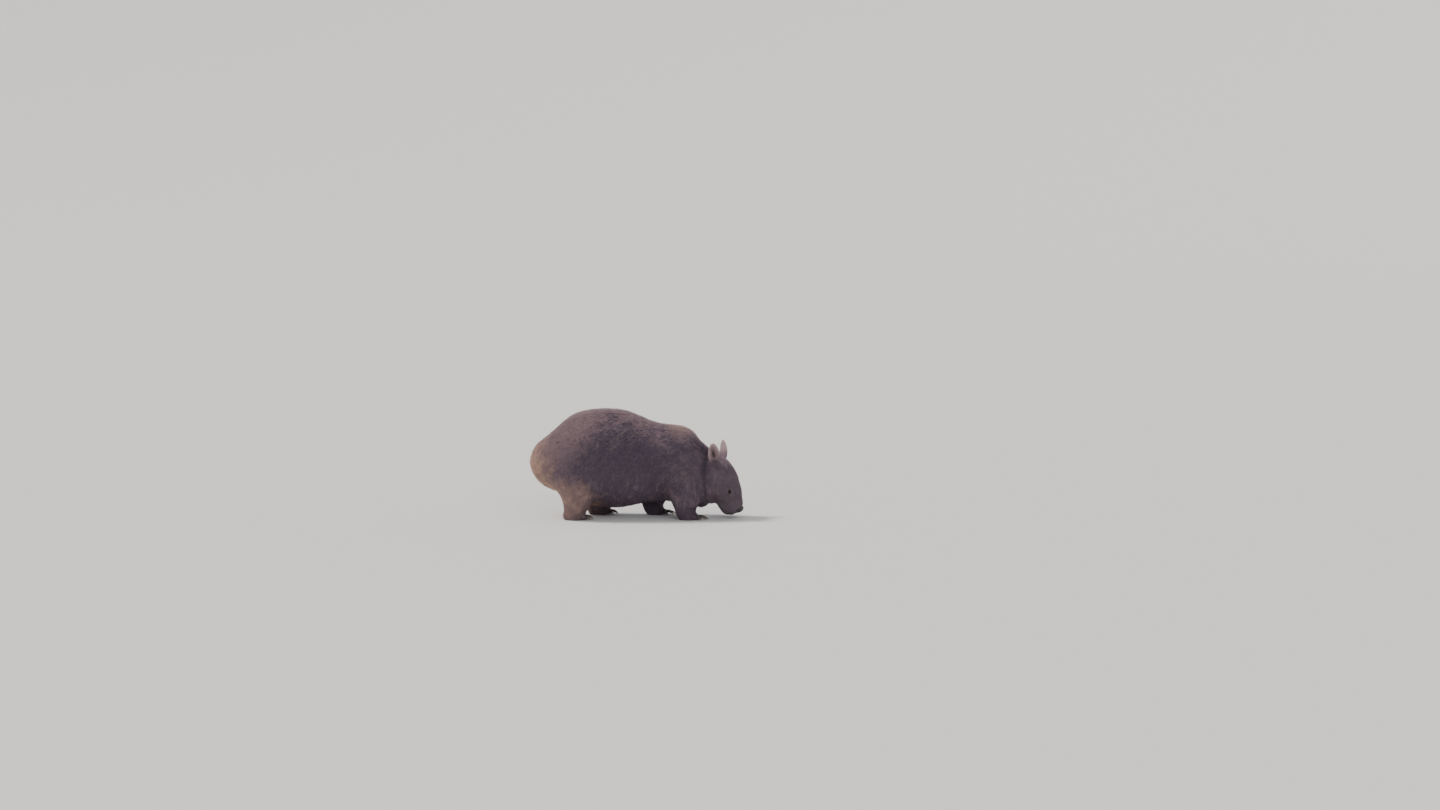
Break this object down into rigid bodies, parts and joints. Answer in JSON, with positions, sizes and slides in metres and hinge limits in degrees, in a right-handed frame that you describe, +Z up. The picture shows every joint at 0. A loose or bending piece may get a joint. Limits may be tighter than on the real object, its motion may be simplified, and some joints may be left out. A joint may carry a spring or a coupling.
{
  "type": "common wombat",
  "caption": "Life-size common wombat standing on four short legs, its blunt head turned a little and lowered to graze, as a still model.",
  "frame": {"origin": "middle of the part's bounding box at the level of the soles", "axes": "+X forward, from rump to head; +Y to the animal's left; +Z up"},
  "size_m": [0.8522, 0.3098, 0.4328],
  "materials": {
    "coat": "coarse dense brown fur",
    "ear_coat": "short paler fur over thin skin",
    "nose": "bare pebbled dark skin",
    "eye": "wet, nearly black brown",
    "claw": "worn dark horn"
  },
  "bodies": {
    "root": {"head": "coat", "nose": "nose", "eye_right": "eye", "ear_right": "ear_coat", "eye_left": "eye", "ear_left": "ear_coat", "forefoot_right": "coat", "foreclaw_right_1": "claw", "foreclaw_right_2": "claw", "foreclaw_right_3": "claw", "foreclaw_right_4": "claw", "foreclaw_right_5": "claw", "hindfoot_right": "coat", "hindclaw_right_1": "claw", "hindclaw_right_2": "claw", "hindclaw_right_3": "claw", "hindclaw_right_4": "claw", "forefoot_left": "coat", "foreclaw_left_1": "claw", "foreclaw_left_2": "claw", "foreclaw_left_3": "claw", "foreclaw_left_4": "claw", "foreclaw_left_5": "claw", "hindfoot_left": "coat", "hindclaw_left_1": "claw", "hindclaw_left_2": "claw", "hindclaw_left_3": "claw", "hindclaw_left_4": "claw", "torso": "coat", "neck": "coat", "tail": "coat", "foreleg_right": "coat", "hindleg_right": "coat", "foreleg_left": "coat", "hindleg_left": "coat"}
  },
  "joints": []
}
